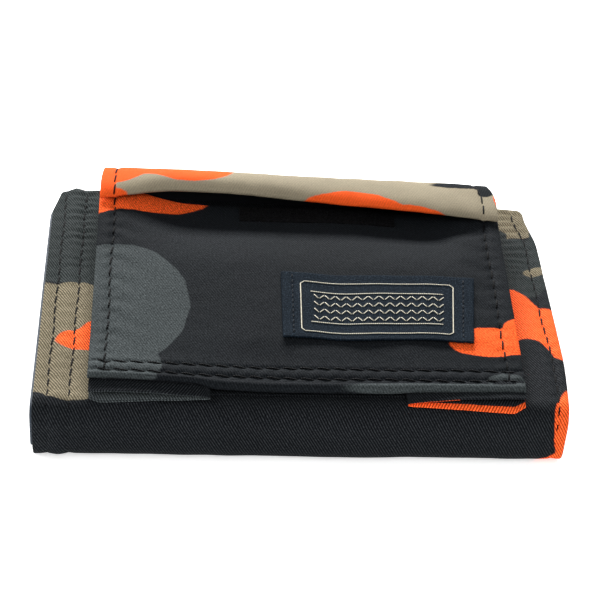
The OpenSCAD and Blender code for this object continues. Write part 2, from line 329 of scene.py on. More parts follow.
def threads(name, rings, uvs, material):
    """One object of many capped tubes; each is a grid of points whose rows are its rings."""
    faces = []
    first = 0
    for ring in rings:
        grid = first + np.arange(ring.shape[0] * ring.shape[1]).reshape(ring.shape[:2])
        nxt = np.roll(grid, -1, axis=1)
        faces += np.stack([grid[:-1], nxt[:-1], nxt[1:], grid[1:]], -1).reshape(-1, 4).tolist()
        faces += [grid[0].tolist(), grid[-1][::-1].tolist()]
        first += grid.size
    verts = np.concatenate([ring.reshape(-1, 3) for ring in rings])
    obj = mesh_object(name, verts, faces, np.concatenate(uvs), [material])
    face_outward(obj)
    return obj


def length_along(points):
    """How far along a line each of its points lies."""
    return np.concatenate([[0], np.cumsum(np.linalg.norm(np.diff(points, axis=0), axis=1))])


def along_and_round(along, sides):
    """uv of a tube: millimetres along it, and the share of the way round it."""
    return np.stack(np.meshgrid(along, np.arange(sides) / sides, indexing="ij"), -1).reshape(-1, 2)


def stitches(name, rows, material, pitch=PITCH, length=3.5, width=0.38, high=0.08, slant=0.07):
    """Thread over the cloth: one arched, pointed capsule a stitch.

    rows are (points, normals) along the seams.
    """
    sides = 6
    sunk = 0.2  # how deep a stitch's ends lie in the cloth
    u = np.linspace(0, 1, 9)
    arch = (high + sunk) * (1 - np.abs(2 * u - 1) ** 3) - sunk
    radius = width / 2 * np.sqrt(np.clip(1 - np.abs(2 * u - 1) ** 6, 0.05, 1))
    around = np.arange(sides) / sides * 2 * math.pi
    rings, uvs = [], []
    for points, normals in rows:
        along = length_along(points)
        count = int((along[-1] - length) / pitch) + 1
        start = (along[-1] - (count - 1) * pitch - length) / 2
        for k in range(count):
            at = start + k * pitch + u * length
            p = np.stack([np.interp(at, along, points[:, c]) for c in range(3)], -1)
            nrm = unit(np.stack([np.interp(at, along, normals[:, c]) for c in range(3)], -1))
            side = unit(np.cross(unit(np.gradient(p, axis=0)), nrm))
            centre = p + nrm * arch[:, None] + side * ((u - 0.5) * slant * length)[:, None]
            ring = side[:, None] * np.cos(around)[:, None] + nrm[:, None] * np.sin(around)[:, None] * 0.8
            rings.append(centre[:, None] + ring * radius[:, None, None])
            uvs.append(along_and_round(at, sides))
    return threads(name, rings, uvs, material)


def put(obj, body, nodes=()):
    """Rides on a body, and stands for CAD nodes."""
    if isinstance(body, str):
        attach(obj, body)
    else:
        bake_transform(obj)
    if nodes:
        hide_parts(*nodes)


# the three folds and the flap's fold: the two bodies on either side of each, and two points on it
NEAR_TOP = ("spine", "front", (0, NEAR_Y, TOP_Z - NEAR_R), (0, CREASE_Y, TOP_Z))
NEAR_LOW = ("back", "spine", (0, CREASE_Y, 0), (0, NEAR_Y, NEAR_R))
FAR_FOLD = ("back", "inner", (0, FAR_Y, FAR_R), (0, FAR_C_Y, 2 * FAR_R))
FLAP_START = (0, WALL_Y + 0.5, FLAP_HINGE[2] - 0.8)
FLAP_FOLD = ("front", "coin_flap", FLAP_START, (0, WALL_Y - 2.5, FLAP_HINGE[2] + 1.0))


# ---------------------------------------------------------------- materials


def srgb(code):
    """Linear colour of a six-digit hex code."""
    parts = [int(code[i : i + 2], 16) / 255 for i in (0, 2, 4)]
    return [c / 12.92 if c <= 0.04045 else ((c + 0.055) / 1.055) ** 2.4 for c in parts] + [1]


COLOURS = {
    "charcoal": srgb("15181b"),
    "green": srgb("383d3e"),
    # darker copy of green: on the left strip it is painted shade, where that side lies in shadow
    "darker_green": srgb("262b2b"),
    "khaki": srgb("6a6250"),
    # lighter copy of khaki for the flap's ground: painted light, for the light that falls on the flap's top
    "khaki_lit": srgb("8a816e"),
    "orange": srgb("e35623"),
}


class Nodes:
    """Short way to write a material's node tree."""

    def __init__(self, name, on_cad=False):
        self.material = bpy.data.materials.new(name)
        self.material.use_nodes = True
        self.tree = self.material.node_tree
        self.shader = self.tree.nodes["Principled BSDF"]
        if on_cad:
            place = self.add("ShaderNodeTexCoord").outputs["Object"]
            self.uv = self.vector("MULTIPLY", place, (1 / MM, 1 / MM, 1 / MM))
        else:
            self.uv = self.add("ShaderNodeUVMap", uv_map="cloth").outputs[0]

    def add(self, kind, *inputs, **settings):
        """New node with its settings and first inputs."""
        node = self.tree.nodes.new(kind)
        for key, value in settings.items():
            setattr(node, key, value)
        for i, value in enumerate(inputs):
            self.set(node.inputs[i], value)
        return node

    def set(self, socket, value):
        """Links a socket, or gives it a constant; None leaves it alone."""
        if value is None:
            return
        if isinstance(value, bpy.types.NodeSocket):
            self.tree.links.new(value, socket)
        else:
            socket.default_value = value

    def math(self, operation, *inputs):
        return self.add("ShaderNodeMath", *inputs, operation=operation).outputs[0]

    def vector(self, operation, *inputs, out=0):
        return self.add("ShaderNodeVectorMath", *inputs, operation=operation).outputs[out]

    def noise(self, vector, scale, detail=2.0, rough=0.5, out=0):
        node = self.add("ShaderNodeTexNoise")
        self.set(node.inputs["Vector"], vector)
        node.inputs["Scale"].default_value = scale
        node.inputs["Detail"].default_value = detail
        node.inputs["Roughness"].default_value = rough
        return node.outputs[out]

    def sine(self, place, u_turn, v_turn, shift=None):
        """Sine wave across the cloth, by the turns in radians for each millimetre of u and v."""
        phase = self.vector("DOT_PRODUCT", place, (u_turn, v_turn, 0), out=1)
        return self.math("SINE", phase if shift is None else self.math("ADD", phase, shift))

    def half(self, value):
        """Brings a value from between -1 and 1 to between 0 and 1."""
        return self.math("MULTIPLY_ADD", value, 0.5, 0.5)

    def wander(self, place, scale, detail, reach, by=None):
        """Moves a place about by noise, within a square of side reach in millimetres, or by a vector."""
        drift = self.vector("SUBTRACT", self.noise(self.uv, scale, detail, out=1), (0.5, 0.5, 0.5))
        return self.vector("MULTIPLY_ADD", drift, by or (reach, reach, 0), place)

    def grey(self, value):
        """The same value in all three channels."""
        return self.add("ShaderNodeCombineXYZ", value, value, value).outputs[0]

    def mix(self, factor, a, b, blend="MIX"):
        node = self.add("ShaderNodeMix", data_type="RGBA", blend_type=blend, clamp_factor=True)
        self.set(node.inputs[0], factor)
        self.set(node.inputs[6], a)
        self.set(node.inputs[7], b)
        return node.outputs[2]

    def ramp(self, value, low, high, to_low=0.0, to_high=1.0):
        """Maps low..high onto to_low..to_high, and holds the ends."""
        return self.add("ShaderNodeMapRange", value, low, high, to_low, to_high).outputs[0]

    def bumps(self, *layers):
        """Each layer is (height, distance in mm, strength)."""
        normal = None
        for height, distance, strength in layers:
            node = self.add("ShaderNodeBump")
            node.inputs["Strength"].default_value = strength
            node.inputs["Distance"].default_value = distance * MM
            self.set(node.inputs["Height"], height)
            if normal is not None:
                self.set(node.inputs["Normal"], normal)
            normal = node.outputs[0]
        self.set(self.shader.inputs["Normal"], normal)

    def surface(self, colour=None, roughness=None, **constants):
        """Sets the shader's sockets, and gives the finished material."""
        self.set(self.shader.inputs["Base Color"], colour)
        self.set(self.shader.inputs["Roughness"], roughness)
        for name, value in constants.items():
            self.shader.inputs[name.replace("_", " ")].default_value = value
        return self.material


def blob_field(n, place, blobs):
    """Signed distance in mm to a soft union of ellipses (x, y, half width, half height, turn in degrees)."""
    field = None
    for x, y, rx, ry, turn in blobs:
        local = n.add("ShaderNodeMapping", place, vector_type="TEXTURE")
        local.inputs["Location"].default_value = (x, y, 0)
        local.inputs["Rotation"].default_value = (0, 0, math.radians(turn))
        local.inputs["Scale"].default_value = (rx, ry, 1)
        length = n.vector("LENGTH", local.outputs[0], out=1)
        small = min(rx, ry)
        distance = n.math("MULTIPLY_ADD", length, small, -small)
        field = distance if field is None else n.math("SMOOTH_MIN", field, distance, 1.5)
    return field


def twill(n):
    """Ribs and height of a steep twill, with ribs about 0.6 mm apart across the cloth."""
    turn = 2 * math.pi / 0.62
    rib = n.half(n.sine(n.uv, turn, 0.55 * turn, n.math("MULTIPLY", n.noise(n.uv, 0.3, 2), 2.0)))
    turn = 2 * math.pi / 0.36
    step = n.half(n.sine(n.uv, -0.5 * turn, turn))
    return rib, n.math("MULTIPLY_ADD", step, 0.35, rib)


def nylon(name, base, layers, ribs=1.2, specks=1.0, gleam=0.036, wander=None):
    """Printed nylon twill. layers is [(colour, blobs), ...], painted in that order on the base colour.

    ribs and specks say how strongly they shade the cloth, and gleam how bright the painted highlight on the
    floats of the twill is.
    wander is (v where it starts, v where it is full, reach): past there the print's outlines wander more.
    """
    n = Nodes(name)
    place = n.wander(n.uv, 0.16, 3, 1.6)
    place = n.wander(place, 1.7, 2, 0.28)
    if wander:
        v = n.vector("DOT_PRODUCT", n.uv, (0, 1, 0), out=1)
        start, full, reach = wander
        amount = n.ramp(v, start, full, 0.0, reach)
        amount = n.add("ShaderNodeCombineXYZ", amount, amount, 0.0).outputs[0]
        place = n.wander(place, 0.055, 2, reach, amount)
    colour = COLOURS[base]
    for layer, blobs in layers:
        edge = n.ramp(blob_field(n, place, blobs), 0.14, -0.14)
        colour = n.mix(edge, colour, COLOURS[layer])
    rib, height = twill(n)
    speck = n.noise(n.uv, 2.3, 3, 0.75)
    light = n.math("MULTIPLY_ADD", rib, ribs, 1 - ribs / 2)
    light = n.math("MULTIPLY", light, n.ramp(speck, 0.3, 0.7, 1 - 0.45 * specks, 1 + 0.45 * specks))
    light = n.math("MULTIPLY", light, n.ramp(n.noise(n.uv, 0.05, 3), 0.3, 0.7, 0.92, 1.1))
    colour = n.mix(1.0, colour, n.grey(light), "MULTIPLY")
    # painted highlight: the floats catch the light, which shows most on the dark print, and it is added to
    # the colour
    painted_glint = n.math("MULTIPLY", n.math("POWER", rib, 3.0), n.ramp(speck, 0.35, 0.75, 0.0, gleam))
    colour = n.mix(1.0, colour, n.grey(painted_glint), "ADD")
    n.bumps((n.noise(n.uv, 0.34, 4, 0.6), 0.35, 0.25), (height, 0.1, 0.5), (speck, 0.06, 0.4))
    roughness = n.ramp(n.math("ADD", speck, n.math("MULTIPLY", rib, -0.25)), 0.1, 0.7, 0.74, 0.55)
    return n.surface(colour, roughness, Sheen_Weight=0.004, Sheen_Roughness=0.4, Specular_IOR_Level=0.015)


def weave(name, code, pitch, rough, sheen, contrast):
    """Plain weave, with threads at the given pitch in millimetres."""
    n = Nodes(name)
    turn = 2 * math.pi / pitch
    over = n.half(n.math("MULTIPLY", n.sine(n.uv, turn, 0), n.sine(n.uv, 0, turn)))
    speck = n.noise(n.uv, 2.6, 3, 0.6)
    light = n.math("MULTIPLY_ADD", over, contrast, 1 - contrast / 2)
    light = n.math("MULTIPLY", light, n.ramp(speck, 0.3, 0.7, 0.82, 1.18))
    light = n.math("MULTIPLY", light, n.ramp(n.noise(n.uv, 0.07, 3), 0.3, 0.7, 0.9, 1.1))
    colour = n.mix(1.0, srgb(code), n.grey(light), "MULTIPLY")
    n.bumps((n.noise(n.uv, 0.4, 3), 0.3, 0.2), (over, 0.08, 0.5))
    rough = n.ramp(speck, 0.2, 0.8, rough + 0.08, rough - 0.08)
    return n.surface(colour, rough, Sheen_Weight=sheen, Specular_IOR_Level=0.12)


def twisted(name, low, high, ply_length, turns, bumpy, rough, **shine):
    """Thread or weft: plies that wind round it."""
    n = Nodes(name)
    ply = n.half(n.sine(n.uv, 2 * math.pi / ply_length, turns * 2 * math.pi))
    n.bumps((ply, bumpy, 0.6))
    return n.surface(n.mix(ply, srgb(low), srgb(high)), n.ramp(ply, 0, 1, *rough), **shine)


def fuzzy(name, code, scale, bumpy):
    """Brushed loops, moulded hooks or foam: cells that stand up at the given scale per mm."""
    n = Nodes(name, on_cad=True)
    cells = n.add("ShaderNodeTexVoronoi")
    n.set(cells.inputs["Vector"], n.uv)
    cells.inputs["Scale"].default_value = scale
    grain = n.noise(n.uv, scale * 0.8, 4, 0.7)
    height = n.math("SUBTRACT", grain, cells.outputs[0])
    n.bumps((height, bumpy, 0.9))
    # painted shade: the colour falls to near black in the hollows between the cells
    colour = n.mix(n.ramp(height, -0.3, 0.6), srgb("030303"), srgb(code))
    return n.surface(colour, n.ramp(grain, 0.3, 0.7, 0.85, 0.6), Specular_IOR_Level=0.1)


SHELL = nylon(
    "camo_shell",
    "charcoal",
    [
        # the left strip's green blobs use the darker copy: painted shade
        ("darker_green", [(-54, 24, 13, 20.5, 0), (-40, 20, 14, 14, 20), (-57, 39, 9, 9, 0), (-46, 8, 7, 8, 0)]),
        ("khaki", [(-48, -17, 15, 20.6, 3), (-56, -16, 8, 19, 0), (-44, -27, 7, 8, 0)]),
        ("orange", [(-44, -16.5, 8.2, 3.8, 4), (-38, -14, 9, 6, 0)]),
        ("khaki", [(56, 40, 10, 12, -20), (49, 33, 3.2, 6, 10)]),
        ("darker_green", [(52, 15, 8, 13, -8), (58.6, 24, 2.6, 9, 0), (48, 27, 2.6, 5, -30)]),
        ("khaki", [(56.5, 14, 3.2, 1.7, 25)]),
        ("orange", [(50.4, -4, 5.2, 10.4, 14), (57.6, -11.5, 4.6, 10.4, 8), (48, -8, 4, 8, 0)]),
        ("charcoal", [(51.6, -26, 5.6, 12.4, 4), (56.6, -27.5, 3, 6.6, 0)]),
        ("orange", [(58.6, -43, 4.6, 11, 2), (55.5, -52, 4.5, 3, 20)]),
        ("khaki", [(-30, -76, 20, 11, 25), (-14, -86, 13, 9, 10), (36, -112, 17, 12, -30)]),
        ("green", [(24, -72, 21, 12, -15), (40, -84, 12, 10, 0), (-40, -118, 17, 13, 20)]),
        ("orange", [(2, -104, 15, 8, 20), (-8, -96, 8, 9, 0), (50, -66, 8, 6, 0)]),
        ("green", [(10, -136, 24, 8, 5), (-36, -160, 16, 12, 30), (44, -176, 16, 13, 0)]),
        ("khaki", [(30, -152, 22, 10, -15), (-20, -186, 18, 9, 10), (-50, -138, 9, 9, 0)]),
        ("orange", [(-16, -166, 11, 7, -20), (48, -134, 9, 6, 10)]),
    ],
    gleam=0.042,
    wander=(-58, -72, 42),
)
POCKET = nylon(
    "camo_pocket",
    "charcoal",
    [
        ("green", [(-39.5, 26.5, 16, 20.5, 0), (-42, 6, 13, 10, 0), (-39, -1, 9, 3.4, 0)]),
        ("green", [(36, -2.6, 26, 2.6, 0), (44, 3, 4, 3, 0)]),
        ("orange", [(-38, 67.2, 19, 7.2, 6), (-46, 62.5, 6, 5, 0)]),
        ("orange", [(42.5, 16.2, 9.6, 4.8, 4), (49, 18.5, 4.6, 6.2, 0)]),
    ],
    ribs=0.4,
    specks=1.5,
    gleam=0.016,
)
FLAP = nylon(
    "camo_flap",
    # the flap's ground is the lighter copy of khaki: painted light on the flap's top
    "khaki_lit",
    [
        ("orange", [(-41, 0, 8, 7.6, 0), (-23.5, 0.6, 10.2, 6.6, 0), (-32, 0, 8, 4.8, 0)]),
        ("orange", [(-43, 11.2, 4.8, 2.2, 0), (-46, 6, 5.2, 9, 0)]),
        ("orange", [(14, 15.2, 13.5, 7.4, 0), (27, 15.6, 10, 4.2, 0)]),
        ("charcoal", [(41, 1.2, 8, 1.7, -8), (46.4, 3.6, 1.7, 2.8, 30)]),
        ("orange", [(48.6, 7.5, 1.3, 3, 0)]),
        ("green", [(10, -9, 17, 5, 5), (-36, -9, 9, 4, 10)]),
        ("charcoal", [(38, -8, 9, 5, -10)]),
    ],
    ribs=0.14,
    specks=0.35,
    gleam=0.0,
    wander=(-2.5, -7, 26),
)
GUSSET_L = nylon(
    "camo_gusset_left",
    "charcoal",
    [("green", [(8, -37, 20, 9, 0), (44, -37, 18, 9, 0)]), ("khaki", [(20, 12, 22, 13, 10)])],
)
GUSSET_R = nylon(
    "camo_gusset_right",
    "orange",
    [("charcoal", [(47, -36, 8.5, 8, 0), (20, 4, 16, 11, 0)]), ("green", [(40, 18, 10, 14, 0)])],
)
BASE = nylon("camo_base", "charcoal", [("green", [(-40, 20, 10, 16, 0), (46, 0, 5, 20, 0)])])
CARD = nylon("plain_card_pocket", "green", [], ribs=0.8)
LINING = weave("lining_cloth", "3b444f", 0.34, 0.55, 0.05, 0.45)
POCKETING = weave("pocket_cloth", "1d1f23", 0.38, 0.72, 0.02, 0.5)
DULL = {"Sheen_Weight": 0.01, "Specular_IOR_Level": 0.05}
THREAD = twisted("black_thread", "020203", "0a0b0d", 0.55, 2, 0.12, (0.7, 0.55), **DULL)
GREY_THREAD = twisted("grey_thread", "020203", "3a3e44", 0.55, 2, 0.12, (0.7, 0.55), **DULL)
CREAM = twisted("cream_thread", "77705c", "e6dfc6", 0.42, 0, 0.08, (0.62, 0.45), Sheen_Weight=0.2)
LOOPS = fuzzy("loop_tape", "141417", 2.2, 0.5)
HOOKS = fuzzy("hook_tape", "101012", 1.4, 0.6)
FOAM = fuzzy("foam_sheet", "5a5a5c", 3.0, 0.25)


def clear_film(name):
    """Clear window film, faintly hazy and scuffed."""
    n = Nodes(name, on_cad=True)
    haze = n.noise(n.uv, 0.5, 4, 0.7)
    n.bumps((haze, 0.05, 0.3))
    rough = n.ramp(haze, 0.35, 0.75, 0.03, 0.16)
    return n.surface(srgb("eef1f0"), rough, Transmission_Weight=1.0, IOR=1.2)


def woven_label(name):
    """Ground of a damask label: near-black satin with a fine rib and a few lighter flecks."""
    n = Nodes(name)
    place = n.wander(n.uv, 0.3, 2, 0.3)
    across = n.sine(place, 2 * math.pi / 0.3, 0)
    pick = n.half(n.math("MULTIPLY", across, n.sine(place, 0, 2 * math.pi / 0.34)))
    speck = n.noise(n.uv, 3.2, 2, 0.7)
    ground = n.mix(pick, srgb("060a0f"), srgb("141d26"))
    ground = n.mix(n.ramp(speck, 0.5, 0.78), ground, srgb("36434f"))
    n.bumps((pick, 0.09, 0.6), (speck, 0.05, 0.3))
    return n.surface(ground, n.ramp(speck, 0.3, 0.7, 0.75, 0.6), Sheen_Weight=0.0, Specular_IOR_Level=0.015)


FILM = clear_film("window_film")
LABEL = woven_label("woven_label")

# ---------------------------------------------------------------- shell, lining and padding


def corner_cut(s, end, radius):
    """How far the side edge steps in near a rounded corner at the given end of the route."""
    d = np.clip(np.abs(s - end), 0, radius)
    return radius - np.sqrt(radius**2 - (radius - d) ** 2)


def leaning_route(x, s, out):
    """Points out from the shell's route, with the front panel's lean, and the route's normals there."""
    y, z, ny, nz = route(s)
    points = np.stack([x, y + ny * out, z + nz * out], -1)
    points[..., 2] += lean(x, points[..., 1]) * smooth((points[..., 2] - TOP_Z + 4.5) / 2) * (s < S_SPINE)
    return points, np.stack([0 * s, ny, nz], -1)


def sheet_on_route(name, x0, x1, s0, s1, offset, thick, material, step=0.65, relief=None, cut=()):
    """A layer of the wallet: offset is how far it lies inside the shell's outer surface."""
    n = int((s1 - s0) / step) + 2
    m = int((x1 - x0) / step) + 2
    s = np.linspace(s0, s1, n)
    u = np.linspace(0, 1, m)
    trim = sum((corner_cut(s, end, radius) for end, radius in cut), np.zeros(n))
    swell = right_swell(s) if x1 > HALF_W - 3 else 0 * s
    slope = 2.0 * np.clip(1 - (s + 1) / 9.5, 0, 1) if x0 < 3 - HALF_W else 0 * s
    x = (x0 + trim + slope)[:, None] + u[None, :] * (x1 - x0 - 2 * trim - slope)[:, None]
    x = x + smooth((u - 0.55) / 0.45)[None, :] * swell[:, None]
    s_grid = np.broadcast_to(s[:, None], x.shape)
    points, _ = leaning_route(x, s_grid, relief(x, s_grid) - offset if relief else -offset)
    return cloth(name, points, np.stack([x, FRONT_FAR_Y - s_grid], -1), thick, material)


FRONT_S = (-1.0, S_SPINE_MID)
BACK_S = (S_SPINE_MID, S_RING_MID)
INNER_S = (S_RING_MID, S_TIP)
PARTS = {"front": (FRONT_S, NEAR_TOP), "back": (BACK_S, NEAR_LOW), "inner": (INNER_S, FAR_FOLD)}
CUTS = {"front": ((-1.0, 2.6),), "back": (), "inner": ((S_TIP, 3.2),)}
LINING_X = (-HALF_W - 0.35, HALF_W - 1)
DIVIDER_X = (-HALF_W + 2, HALF_W - 1)

for part, (s_range, fold) in PARTS.items():
    for kind, x_range, place, slot, more in (
        ("shell", (SHELL_LEFT, HALF_W), (0.0, SHELL_T, SHELL), "camo_nylon", {"relief": shell_relief}),
        ("lining", LINING_X, (1.5, 0.25, LINING), "lining", {"step": 1.2}),
        ("divider", DIVIDER_X, (2.05, 0.4, POCKETING), "pocket_cloth", {"step": 1.2}),
    ):
        piece = sheet_on_route(f"{kind}_cloth_{part}", *x_range, *s_range, *place, cut=CUTS[part], **more)
        put(piece, fold, [f"{kind}_{part}"] + ([f"{kind}_spine"] if part == "front" else []))

FOAM_S = {
    "front": (3.0, 75.0),
    "back": (S_BACK + 1.35, S_BACK + 71.35),
    "inner": (S_INNER + 2.1, S_INNER + 54.6),
}
for part, s_range in FOAM_S.items():
    piece = sheet_on_route("foam_pad_" + part, -47, 50, *s_range, 0.85, 0.6, FOAM, step=2.5)
    put(piece, part, ["foam_" + part])

# sewing along the three rows of the shell, clear of the two free edges
for part, ((s0, s1), fold) in PARTS.items():
    rows = []
    for x in (ROW_LEFT_OUT, ROW_LEFT_IN, ROW_RIGHT):
        start = s0 + (1.2 if part == "front" else 0.0)
        end = s1 - (1.2 if part == "inner" else 0.0)
        s = np.linspace(start, end, int((end - start) / 0.4))
        rows.append(leaning_route(row_x(x, s) + 0.12 * np.sin(s * 0.31 + x), s, -0.16))
    nodes = ["stitching_" + part] + (["stitching_spine"] if part == "front" else [])
    put(stitches("stitch_rows_" + part, rows, THREAD), fold, nodes)

# ---------------------------------------------------------------- pockets inside


def flat_cloth(
    name, x0, x1, y0, y1, z_top, thick, material, up=1, relief=None, step=1.0, radius=2.0, leaning=False
):
    """A panel lying flat, with rounded corners. up=-1 faces down, and z_top is then its lower face."""
    n = int((y1 - y0) / step) + 2
    m = int((x1 - x0) / step) + 2
    v = np.linspace(y0, y1, n)
    u = np.linspace(0, 1, m)
    trim = corner_cut(v, y0, radius) + corner_cut(v, y1, radius)
    x = (x0 + trim)[:, None] + u[None, :] * (x1 - x0 - 2 * trim)[:, None]
    y = np.broadcast_to(v[:, None], x.shape)
    z = z_top + 0 * x
    if relief is not None:
        z = z + up * relief(x, y)
    if leaning:
        z = z + lean(x, y)
    return cloth(name, np.stack([x, y, z], -1), np.stack([x, y], -1), thick, material, flip=-up)


def card_pocket(node, body, up):
    """A card pocket: cloth with a turned hem down its open side, sewn with one row."""
    lo, hi = box(node)
    face = hi[2] if up > 0 else lo[2]
    seam = 3.4

    def hem(x, y):
        d = x - lo[0]
        return 0.05 * smooth((seam + 0.6 - d) / 0.5) - 0.12 * bump(d, seam, 0.4)

    piece = flat_cloth(node + "_cloth", lo[0], hi[0], lo[1], hi[1], face, 0.4, CARD, up=up, relief=hem)
    put(piece, body, [node])
    y = np.linspace(lo[1] + 1.5, hi[1] - 1.5, 150)
    line = np.stack([lo[0] + seam + 0 * y, y, face - up * 0.06 + 0 * y], -1)
    row = [(line, np.broadcast_to([0, 0, up], line.shape))]
    put(stitches(node + "_stitches", row, GREY_THREAD, width=0.3, high=0.04), body)


for number in (1, 2, 3):
    card_pocket(f"card_pocket_back_{number}", "back", 1)
for number in (1, 2):
    card_pocket(f"card_pocket_inner_{number}", "inner", -1)

for node, body, material, slot in (
    ("closure_loop_tape", "inner", LOOPS, "loop_tape"),
    ("closure_hook_tape", "front", HOOKS, "hook_tape"),
):
    lo, hi = box(node)
    up = 1 if body == "inner" else -1
    face = hi[2] if up > 0 else lo[2]
    piece = flat_cloth(
        node + "_piece", lo[0], hi[0], lo[1], hi[1], face, hi[2] - lo[2], material, up=up, step=0.5,
        relief=lambda x, y: 0.12 * ripple(x, y, 2.1, 5.0) - 0.12, radius=1.5, leaning=body == "front",
    )
    put(piece, body, [node])


def rounded_rectangle(x0, x1, y0, y1, radius, share):
    """Points on a rounded rectangle at the given shares of the way round it."""
    cx, cy = (x0 + x1) / 2, (y0 + y1) / 2
    hx, hy = (x1 - x0) / 2 - radius, (y1 - y0) / 2 - radius
    corners = [(hx, -hy), (hx, hy), (-hx, hy), (-hx, -hy)]
    path = []
    for k, (px, py) in enumerate(corners):
        for angle in np.radians(np.linspace(90 * k - 90, 90 * k, 10)):
            path.append((cx + px + radius * math.cos(angle), cy + py + radius * math.sin(angle)))
    path.append(path[0])
    path = np.array(path)
    quarter = np.arange(len(path)) / 10
    return np.stack([np.interp(share * 4, quarter, path[:, c]) for c in (0, 1)], -1)


WINDOW_X, WINDOW_Y = 38, 24  # half the width and depth of the opening for the film window
lo, hi = box("id_pocket_frame")
share = np.linspace(0, 1, 161)
outer = rounded_rectangle(lo[0], hi[0], lo[1], hi[1], 2.5, share)
inner = rounded_rectangle(-WINDOW_X, WINDOW_X, -WINDOW_Y, WINDOW_Y, 3, share)
across = np.linspace(0, 1, 12)[None, :, None]
ring = outer[:, None] * (1 - across) + inner[:, None] * across
z = lo[2] - 0.06 * smooth(3 - 3 * np.abs(2 * across[..., 0] - 1)) + lean(ring[..., 0], ring[..., 1])
id_frame = cloth("id_frame_cloth", np.concatenate([ring, z[..., None]], -1), ring, 0.4, CARD)
put(id_frame, "front", ["id_pocket_frame"])
seam_x, seam_y = WINDOW_X + 2, WINDOW_Y + 2
edge = rounded_rectangle(-seam_x, seam_x, -seam_y, seam_y, 4, np.linspace(0, 1, 700))
line = np.concatenate([edge, (lo[2] + lean(edge[:, 0], edge[:, 1]))[:, None]], -1)
rows = [(line, np.broadcast_to([0, 0, -1], line.shape))]
put(stitches("id_frame_stitches", rows, GREY_THREAD, width=0.3, high=0.04), "front")
lo, hi = box("id_window")
size = (lo[0], hi[0], lo[1], hi[1], lo[2], hi[2] - lo[2])
film = flat_cloth("id_window_film", *size, FILM, up=-1, leaning=True, step=2)
put(film, "front", ["id_window"])

# ---------------------------------------------------------------- coin pocket


def pleat_lift(x):
    """1 at the pocket's left end, where the pleat pushes its bottom up, and 0 from the middle on."""
    return smooth((-2 - x) / 42)


def mouth_sag(x, v):
    """How deep the pocket's front sinks towards its mouth, between its stiff side seams."""
    across = smooth((x - COIN_X0 - 2) / 18) * smooth((COIN_X1 - 1 - x) / 16)
    wave = 0.88 + 0.12 * np.cos((x + 12) * 0.15)
    return 4.1 * smooth((v - 40) / 25) * across * wave


def pocket_place(x, v, w):
    """Point on the coin pocket's front at x, v up from its bottom seam and w out from its swing plane."""
    c, s = math.cos(FRONT_TILT), math.sin(FRONT_TILT)
    x, v, w = np.broadcast_arrays(x, v, w)
    low = smooth((18 - v) / 18)
    v = v + 1.3 * pleat_lift(x) * low
    w = w + 1.1 * pleat_lift(x) * low - mouth_sag(x, v)
    y = SEAM[1] + v * c - w * s
    z = SEAM[2] + v * s + w * c
    return np.stack(np.broadcast_arrays(x, y, z + lean(x, y)), -1)


def hem_line(x):
    """1 left of the place where the hem bends over the end of the pleat, 0 right of it."""
    return smooth((-17.0 - x) / 6)


def pocket_relief(x, v):
    """Outward relief of the pocket's front, in millimetres."""
    left, right = x - COIN_ROW_L, COIN_ROW_R - x
    side = seam_dent(left, v, 0.9) + seam_dent(right, v, 0.9)
    rows = sum(seam_dent(v - row, x, 0.8) for row in HEM_ROWS)
    inner_area = smooth(left / 8) * smooth(right / 8) * smooth((v - 8) / 9)
    belly = 0.55 * inner_area * (1 - 0.5 * smooth((v - 50) / 15))
    fold = 0.5 * ripple(x, v * 0.5, 0.055, 21.0) * inner_area
    gathers = np.sin(2 * math.pi * (v + 0.6 * left) / 6.2) * bump(left, 2.5, 3.2)
    gathers = gathers + np.sin(2 * math.pi * (v - 0.4 * right) / 7.1) * bump(right, 3.5, 3.6)
    rim = 0.14 * bump(v, sum(HEM_ROWS) / 2, 1.2)
    rim = rim + 0.12 * bump(left, -1.6, 1.1) + 0.12 * bump(right, -1.6, 1.1)
    small = 0.07 * ripple(x, v, 0.3, 31.0)
    return side + rows + belly + fold + 0.1 * gathers * smooth((v - 8) / 6) + rim + small


W_TOP = 1.15  # how far the front's outer face lies from its swing plane


def front_face(x, v, above=0.0):
    """Point on the outer face of the pocket's front."""
    return pocket_place(x, v, W_TOP + pocket_relief(x, v) + above)


def front_cloth(name, x, v, place, thick, material, inside=None):
    """A cloth on the pocket's front; place is the function that puts its points there."""
    X, V = np.meshgrid(x, v)
    return cloth(name, place(X, V), np.stack([X, V], -1), thick, material, inside, flip=-1)


def front_row(place):
    """A row of stitches on the pocket's front: its points, and the way they face."""
    return place, np.broadcast_to(FRONT_UP, place.shape)


x = np.linspace(COIN_X0, COIN_X1, 190)
v = np.concatenate([np.linspace(1.3, 12, 42), np.linspace(12.4, FRONT_V, 110)])
coin_front = front_cloth("coin_front_cloth", x, v, front_face, 0.8, POCKET, POCKETING)
put(coin_front, "coin_front", ["coin_front_panel"])

# rolled hem: a soft tube along the bottom edge, flattened and twisted a little
X, A = np.meshgrid(np.linspace(COIN_X0, COIN_X1, 220), np.linspace(0, 2 * math.pi, 25))
to_right = smooth((X - 18) / 8)
radius = 1.08 - 0.33 * hem_line(X) - 0.14 * to_right + 0.07 * ripple(X, 0, 0.25, 41.0)
hem_v = 0.85 + 0.6 * hem_line(X) + radius * 1.1 * np.cos(A)
hem_w = 0.95 + 0.3 * hem_line(X) + 0.35 * to_right + radius * np.sin(A)


